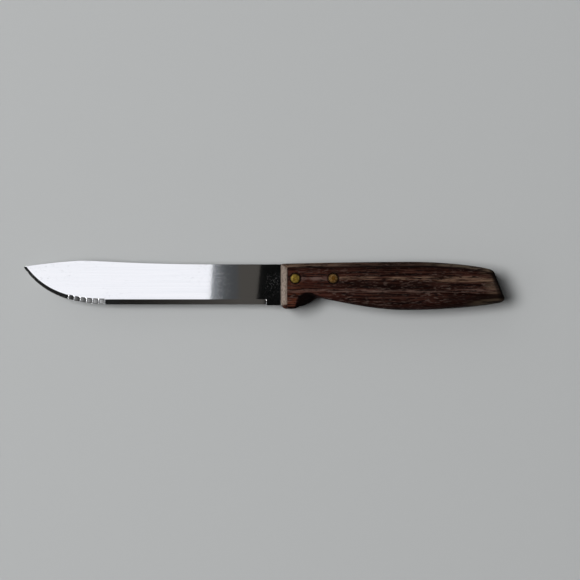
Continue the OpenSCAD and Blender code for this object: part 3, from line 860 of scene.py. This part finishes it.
def sheet(name, places, z, material):
    # a flat sheet through corners in mm, facing up where they run anticlockwise from above, and down if not
    mesh = bpy.data.meshes.new(name)
    mesh.from_pydata((np.array([(*xy, z) for xy in places]) * mm).tolist(), [], [tuple(range(len(places)))])
    mesh.materials.append(material)
    made = bpy.data.objects.new(name, mesh)
    bpy.context.collection.objects.link(made)


def plain(name, shaderKind, inputs):
    # a material of one shader
    material, tree = newMaterial(name)
    addNode(tree, "OutputMaterial", {"Surface": addNode(tree, shaderKind, inputs)[0]})
    return material


def glowing(name, alongX, strengths, colour, power):
    # gives light, its strength going from one value to another along x, in mm, with a power of the way
    material, tree = newMaterial(name)
    x = addNode(tree, "SeparateXYZ", {0: placeInMm(tree)})[0]
    way = addNode(tree, "MapRange", {"Value": x, "From Min": alongX[0], "From Max": alongX[1]})[0]
    way = addNode(tree, "Math", {0: way, 1: power}, operation="POWER")[0]
    strength = addNode(tree, "MapRange", {"Value": way, "To Min": strengths[0], "To Max": strengths[1]})[0]
    glow = addNode(tree, "Emission", {"Color": toLinear(colour), "Strength": strength})[0]
    addNode(tree, "OutputMaterial", {"Surface": glow})
    return material


# the camera looks straight down at the knife, which lies on a pale table
view = {"x": 15.4, "y": -2.78, "rise": 1500, "width": 338.5}             # mm, over the knife's middle plane
tableLook = {"half": 6000, "colour": "#b3b5b5", "roughness": 0.7}        # mm
half = tableLook["half"]
mattPaint = {"Base Color": toLinear(tableLook["colour"]), "Roughness": tableLook["roughness"]}
sheet("table", [(-half, -half), (half, -half), (half, half), (-half, half)], 0,
      plain("matt_painted_table", "BsdfPrincipled", mattPaint))


def mirrored(x, z):
    # where the camera's line by way of the blade's upper face at x reaches the height z
    return x + (x - view["x"]) * (z - midZ) / view["rise"]


# What the blade mirrors: a large soft panel up to the left, a fringe of light beside it, and a dim ceiling
# behind both. Sizes are in mm, and onBlade is the place along the blade where an edge shows.
panel = {
    "z": 4800, "length": 5200, "nearY": (-180, 250), "farY": (-600, 3600), "onBlade": -30.7, "slant": 0.067,
    "strength": 1.18, "colour": "#fafaff",
}
fringe = {"behind": 10, "onBlade": -15, "strength": 0.27, "power": 3, "colour": "#f2f8ff"}
ceiling = {
    "behind": 20, "x": (-420, -120), "y": (-2600, 2600), "strength": (0.016, 0.076), "power": 1.6,
    "colour": "#fff6ec", "behindCard": 3,
}
card = {"onBlade": -3.4, "slant": 0.1, "overCamera": 60, "half": 60, "colour": "#1e1e1e"}

panelX, fringeX = mirrored(panel["onBlade"], panel["z"]), mirrored(fringe["onBlade"], panel["z"])
farX = panelX - panel["length"]
(nearLow, nearHigh), (farLow, farHigh) = panel["nearY"], panel["farY"]
lowX, highX = panelX + panel["slant"] * nearLow, panelX + panel["slant"] * nearHigh
sheet("soft_panel", [(highX, nearHigh), (lowX, nearLow), (farX, farLow), (farX, farHigh)], panel["z"],
      glowing("soft_panel", (farX, panelX), (panel["strength"], panel["strength"]), panel["colour"], 1))
fringeEnds = ceiling["strength"][1], fringe["strength"] + ceiling["strength"][1]
sheet("panel_fringe", [(fringeX, nearHigh), (fringeX, nearLow), (lowX, nearLow), (lowX, nearHigh)],
      panel["z"] + fringe["behind"],
      glowing("panel_fringe", (fringeX, panelX), fringeEnds, fringe["colour"], fringe["power"]))
dimX = mirrored(card["onBlade"] + ceiling["behindCard"], panel["z"])
dimLeft, (dimLow, dimHigh) = ceiling["x"][0], ceiling["y"]
sheet("dim_ceiling", [(dimX, dimHigh), (dimX, dimLow), (dimLeft, dimLow), (dimLeft, dimHigh)],
      panel["z"] + ceiling["behind"],
      glowing("dim_ceiling", ceiling["x"], ceiling["strength"], ceiling["colour"], ceiling["power"]))

# a dim strip on the near side, which the scallops mirror
strip = {                # mm
    "x": (-1600, -250), "y": (-3250, -2150), "strength": (0.03, 0.65), "power": 2, "colour": "#ffffff",
}
(stripFar, stripNear), (stripLow, stripHigh) = strip["x"], strip["y"]
sheet("near_strip", [
    (stripNear, stripHigh), (stripNear, stripLow), (stripFar, stripLow), (stripFar, stripHigh),
], panel["z"], glowing("near_strip", strip["x"], strip["strength"], strip["colour"], strip["power"]))

# a black card just above the camera, which darkens the blade beside the handle
cardZ = midZ + view["rise"] + card["overCamera"]
cardReach = view["x"] - mirrored(card["onBlade"], cardZ)
cardLeft, cardRight = view["x"] - cardReach, view["x"] + cardReach
cardLow, cardHigh = view["y"] - card["half"], view["y"] + card["half"]
cardLean = card["slant"] * card["half"]
sheet("black_card", [
    (cardRight, cardHigh), (cardRight, cardLow),
    (cardLeft - cardLean, cardLow), (cardLeft + cardLean, cardHigh),
], cardZ, plain("black_card", "BsdfDiffuse", {"Color": toLinear(card["colour"])}))

keyLight = {"place": (-2.25, 0.48, 4.5), "size": 3.0, "energy": 248}  # m, m, W
key = bpy.data.lights.new("key", "AREA")
key.shape, key.size, key.energy = "DISK", keyLight["size"], keyLight["energy"]
keyLamp = bpy.data.objects.new("key", key)
keyLamp.location = keyLight["place"]
keyLamp.rotation_euler = (-keyLamp.location).to_track_quat("-Z", "Y").to_euler()
bpy.context.collection.objects.link(keyLamp)

# a soft surround: a ring of light at middle heights, bright on the light side, over a faint light all round
surround = {
    "lightFrom": (-0.88, 0.47, 0), "side": (0.15, 0.7), "bright": 0.95, "dark": 0.06, "everywhere": 0.017,
    "ringTop": (0.9, 0.55), "ringFoot": (0.1, 0.5), "footShare": 0.1,  # by height, 1 straight up
}
world = bpy.data.worlds.new("surround")
bpy.context.scene.world = world
world.use_nodes = True
tree = world.node_tree
tree.nodes.clear()
direction = addNode(tree, "TexCoord", {})["Generated"]
height = addNode(tree, "SeparateXYZ", {0: direction})[2]
towardsLight = addNode(tree, "VectorMath", {
    0: direction, 1: surround["lightFrom"]}, operation="DOT_PRODUCT")["Value"]
ringTop = addNode(tree, "MapRange", {
    "Value": height, "From Min": surround["ringTop"][0], "From Max": surround["ringTop"][1],
}, interpolation_type="SMOOTHSTEP")[0]
ringFoot = addNode(tree, "MapRange", {
    "Value": height, "From Min": surround["ringFoot"][0], "From Max": surround["ringFoot"][1],
    "To Min": surround["footShare"],
}, interpolation_type="SMOOTHSTEP")[0]
ring = addNode(tree, "Math", {0: ringTop, 1: ringFoot}, operation="MULTIPLY")[0]
side = addNode(tree, "MapRange", {
    "Value": towardsLight, "From Min": surround["side"][0], "From Max": surround["side"][1],
    "To Min": surround["dark"], "To Max": surround["bright"],
}, interpolation_type="SMOOTHSTEP")[0]
glow = addNode(tree, "Math", {0: ring, 1: side, 2: surround["everywhere"]}, operation="MULTIPLY_ADD")[0]
light = addNode(tree, "Background", {"Color": (1, 1, 1, 1), "Strength": glow})[0]
addNode(tree, "OutputWorld", {"Surface": light})

cameraData = bpy.data.cameras.new("camera")
cameraData.lens = cameraData.sensor_width * view["rise"] / view["width"]
camera = bpy.data.objects.new("camera", cameraData)
camera.location = (view["x"] * mm, view["y"] * mm, (midZ + view["rise"]) * mm)
bpy.context.collection.objects.link(camera)
bpy.context.scene.camera = camera
bpy.context.scene.view_settings.view_transform = "Standard"
print("room, light and camera set")
